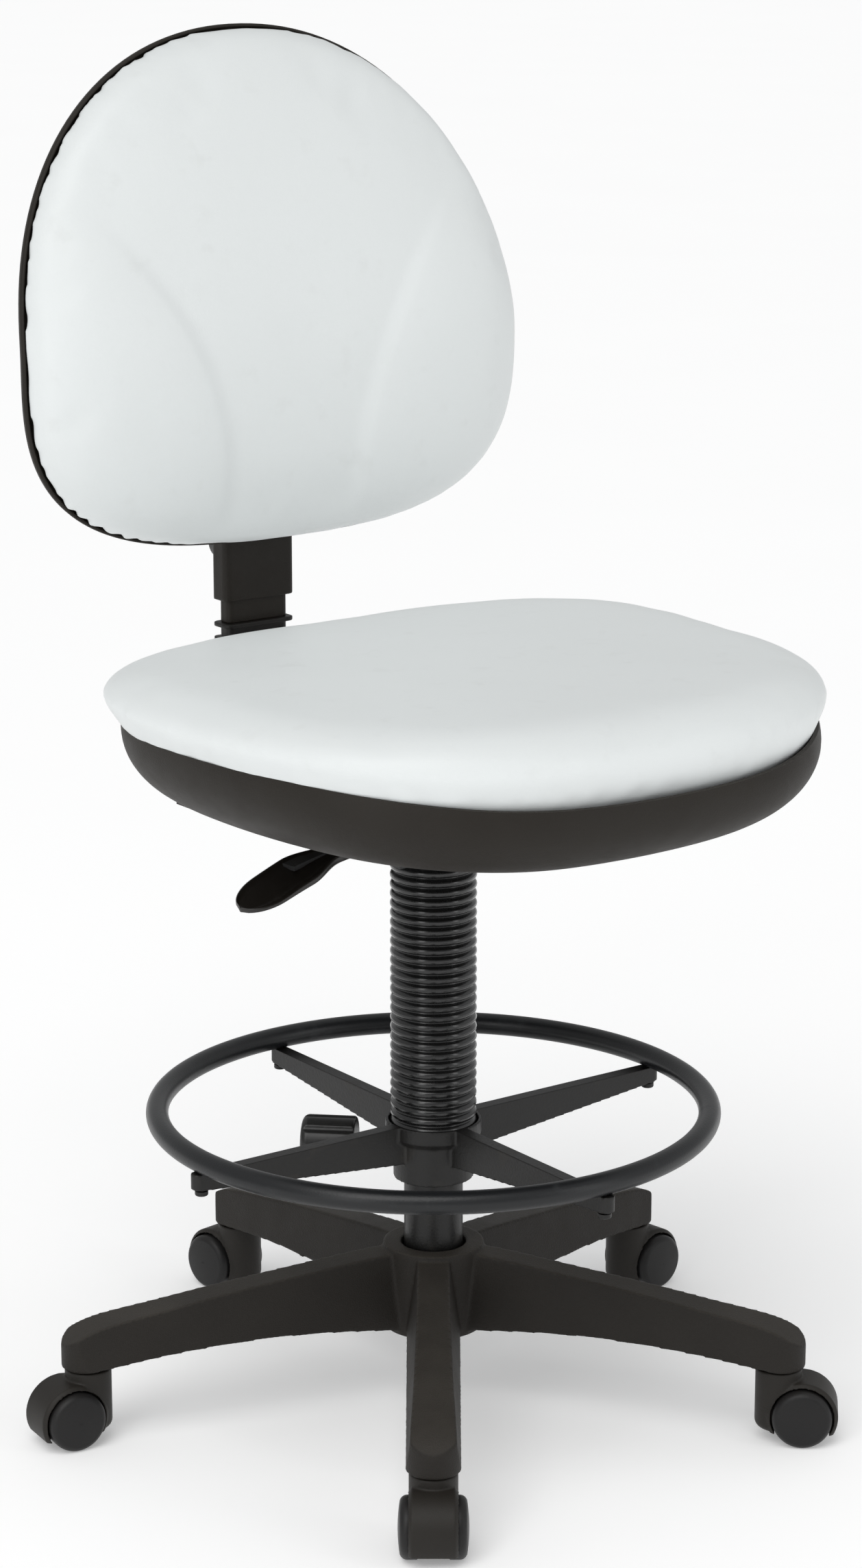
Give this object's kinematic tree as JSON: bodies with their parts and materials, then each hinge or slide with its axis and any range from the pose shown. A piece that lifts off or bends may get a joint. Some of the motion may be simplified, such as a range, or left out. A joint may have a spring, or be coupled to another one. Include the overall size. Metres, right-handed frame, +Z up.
{
  "type": "drafting chair",
  "caption": "Armless drafting chair: five-arm caster base, gas lift in a ribbed cover, clamped foot ring, round-cornered padded seat and contoured padded back.",
  "frame": {"origin": "on the floor under the axis of the gas lift column", "axes": "+Z up; -Y is the front of the seat and +Y the back; -X is the sitter's right"},
  "size_m": [0.6797, 0.6676, 1.1429],
  "materials": {
    "base_plastic": "textured moulded black nylon",
    "column_steel": "satin black powder coat",
    "chromed_rod": "hard chromed, polished",
    "plain_steel": "plain bright zinc",
    "bush_plastic": "natural acetal",
    "bellows_plastic": "glossy black polythene",
    "ring_coat": "semi-gloss black powder coat",
    "spider_coat": "satin black powder coat",
    "knob_plastic": "black, slightly glossy",
    "shell_plastic": "fine textured black polypropylene",
    "vinyl": "smooth off-white vinyl, low gloss",
    "plywood": "moulded beech plywood",
    "lever_plastic": "smooth black",
    "plate_coat": "black powder coat",
    "boot_rubber": "black, slight sheen",
    "caster_plastic": "moulded black nylon",
    "wheel_plastic": "hard black nylon"
  },
  "bodies": {
    "base": {"star_base": "base_plastic", "column_tube": "column_steel", "guide_bush": "bush_plastic", "thrust_bearing": "plain_steel", "caster_stems": "plain_steel", "stem_grip_rings": "plain_steel"},
    "spindle": {"piston_rod": "chromed_rod", "retaining_clip": "plain_steel", "bellows": "bellows_plastic"},
    "seat": {"gas_cylinder": "chromed_rod", "seat_plate": "plate_coat", "bar_guide": "plate_coat", "lever_pin": "plain_steel", "seat_bolts": "plain_steel", "tee_nuts": "plain_steel", "seat_board": "plywood", "seat_shell": "shell_plastic", "seat_cushion": "vinyl"},
    "lever": {"lever_arm": "plate_coat", "lever_grip": "lever_plastic"},
    "valve": {"valve_pin": "plain_steel"},
    "back_support": {"back_bar": "plate_coat", "bar_boot": "boot_rubber", "bar_cover": "shell_plastic"},
    "depth_clamp": {"depth_knob": "knob_plastic", "depth_knob_stud": "plain_steel"},
    "back": {"back_sleeve": "shell_plastic", "back_bracket": "plate_coat", "back_screws": "plain_steel", "back_shell": "shell_plastic", "back_board": "plywood", "back_cushion": "vinyl"},
    "height_clamp": {"height_knob": "knob_plastic", "height_knob_stud": "plain_steel"},
    "ring_slider": {"ring_liner": "bush_plastic"},
    "foot_ring": {"ring_tube": "ring_coat", "ring_spider": "spider_coat", "ring_screws": "plain_steel"},
    "ring_clamp": {"ring_knob": "knob_plastic", "ring_knob_stud": "plain_steel"},
    "caster_1": {"caster_hood_1": "caster_plastic", "caster_axle_1": "plain_steel"},
    "wheel_left_1": {"caster_wheel_left_1": "wheel_plastic"},
    "wheel_right_1": {"caster_wheel_right_1": "wheel_plastic"},
    "caster_2": {"caster_hood_2": "caster_plastic", "caster_axle_2": "plain_steel"},
    "wheel_left_2": {"caster_wheel_left_2": "wheel_plastic"},
    "wheel_right_2": {"caster_wheel_right_2": "wheel_plastic"},
    "caster_3": {"caster_hood_3": "caster_plastic", "caster_axle_3": "plain_steel"},
    "wheel_left_3": {"caster_wheel_left_3": "wheel_plastic"},
    "wheel_right_3": {"caster_wheel_right_3": "wheel_plastic"},
    "caster_4": {"caster_hood_4": "caster_plastic", "caster_axle_4": "plain_steel"},
    "wheel_left_4": {"caster_wheel_left_4": "wheel_plastic"},
    "wheel_right_4": {"caster_wheel_right_4": "wheel_plastic"},
    "caster_5": {"caster_hood_5": "caster_plastic", "caster_axle_5": "plain_steel"},
    "wheel_left_5": {"caster_wheel_left_5": "wheel_plastic"},
    "wheel_right_5": {"caster_wheel_right_5": "wheel_plastic"}
  },
  "joints": [
    {"name": "seat_swivel", "type": "hinge", "parent": "base", "child": "spindle", "pos_m": [0, 0, 0.1], "axis": [0, 0, 1], "continuous": true},
    {"name": "seat_height", "type": "slide", "parent": "spindle", "child": "seat", "axis": [0, 0, 1], "range_m": [-0.05, 0.2], "deforming": ["bellows"]},
    {"name": "lever_lift", "type": "hinge", "parent": "seat", "child": "lever", "pos_m": [-0.05, 0, 0.5063], "axis": [0, 1, 0], "range_deg": [0, 6], "stiffness_Nm_per_rad": 2, "springref_deg": -5.73},
    {"name": "valve_press", "type": "slide", "parent": "seat", "child": "valve", "axis": [0, 0, -1], "range_m": [0, 0.006]},
    {"name": "back_depth", "type": "slide", "parent": "seat", "child": "back_support", "axis": [0, 1, 0], "range_m": [-0.02, 0.02]},
    {"name": "depth_knob_turn", "type": "hinge", "parent": "seat", "child": "depth_clamp", "pos_m": [0, 0.124, 0.47], "axis": [0, 0, -1], "range_deg": [0, 360]},
    {"name": "back_height", "type": "slide", "parent": "back_support", "child": "back", "axis": [0, 0, 1], "range_m": [-0.018, 0.055]},
    {"name": "height_knob_turn", "type": "hinge", "parent": "back", "child": "height_clamp", "pos_m": [0, 0.3, 0.7], "axis": [0, 1, 0], "range_deg": [0, 360]},
    {"name": "foot_ring_height", "type": "slide", "parent": "base", "child": "ring_slider", "axis": [0, 0, 1], "range_m": [-0.05, 0]},
    {"name": "foot_ring_turn", "type": "hinge", "parent": "ring_slider", "child": "foot_ring", "pos_m": [0, 0, 0.22], "axis": [0, 0, 1], "continuous": true},
    {"name": "ring_knob_turn", "type": "hinge", "parent": "foot_ring", "child": "ring_clamp", "pos_m": [-0.06582, 0.06138, 0.225], "axis": [-0.7314, 0.682, 0], "range_deg": [0, 360]},
    {"name": "caster_swivel_1", "type": "hinge", "parent": "base", "child": "caster_1", "pos_m": [-0.1781, -0.24513, 0.05], "axis": [0, 0, 1], "continuous": true},
    {"name": "wheel_left_roll_1", "type": "hinge", "parent": "caster_1", "child": "wheel_left_1", "pos_m": [-0.18985, -0.26131, 0.025], "axis": [0.809, -0.5878, 0], "continuous": true},
    {"name": "wheel_right_roll_1", "type": "hinge", "parent": "caster_1", "child": "wheel_right_1", "pos_m": [-0.18985, -0.26131, 0.025], "axis": [0.809, -0.5878, 0], "continuous": true},
    {"name": "caster_swivel_2", "type": "hinge", "parent": "base", "child": "caster_2", "pos_m": [0.1781, -0.24513, 0.05], "axis": [0, 0, 1], "continuous": true},
    {"name": "wheel_left_roll_2", "type": "hinge", "parent": "caster_2", "child": "wheel_left_2", "pos_m": [0.19319, -0.25825, 0.025], "axis": [0.6561, 0.7547, 0], "continuous": true},
    {"name": "wheel_right_roll_2", "type": "hinge", "parent": "caster_2", "child": "wheel_right_2", "pos_m": [0.19319, -0.25825, 0.025], "axis": [0.6561, 0.7547, 0], "continuous": true},
    {"name": "caster_swivel_3", "type": "hinge", "parent": "base", "child": "caster_3", "pos_m": [0.28817, 0.09363, 0.05], "axis": [0, 0, 1], "continuous": true},
    {"name": "wheel_left_roll_3", "type": "hinge", "parent": "caster_3", "child": "wheel_left_3", "pos_m": [0.30797, 0.09642, 0.025], "axis": [-0.1392, 0.9903, 0], "continuous": true},
    {"name": "wheel_right_roll_3", "type": "hinge", "parent": "caster_3", "child": "wheel_right_3", "pos_m": [0.30797, 0.09642, 0.025], "axis": [-0.1392, 0.9903, 0], "continuous": true},
    {"name": "caster_swivel_4", "type": "hinge", "parent": "base", "child": "caster_4", "pos_m": [0, 0.303, 0.05], "axis": [0, 0, 1], "continuous": true},
    {"name": "wheel_left_roll_4", "type": "hinge", "parent": "caster_4", "child": "wheel_left_4", "pos_m": [-0.00347, 0.3227, 0.025], "axis": [-0.9848, -0.1736, 0], "continuous": true},
    {"name": "wheel_right_roll_4", "type": "hinge", "parent": "caster_4", "child": "wheel_right_4", "pos_m": [-0.00347, 0.3227, 0.025], "axis": [-0.9848, -0.1736, 0], "continuous": true},
    {"name": "caster_swivel_5", "type": "hinge", "parent": "base", "child": "caster_5", "pos_m": [-0.28817, 0.09363, 0.05], "axis": [0, 0, 1], "continuous": true},
    {"name": "wheel_left_roll_5", "type": "hinge", "parent": "caster_5", "child": "wheel_left_5", "pos_m": [-0.30806, 0.09572, 0.025], "axis": [-0.1045, -0.9945, 0], "continuous": true},
    {"name": "wheel_right_roll_5", "type": "hinge", "parent": "caster_5", "child": "wheel_right_5", "pos_m": [-0.30806, 0.09572, 0.025], "axis": [-0.1045, -0.9945, 0], "continuous": true}
  ],
  "couplings": [
    {"joint": "valve_press", "follows": "lever_lift", "m_per_rad": 0.05}
  ]
}
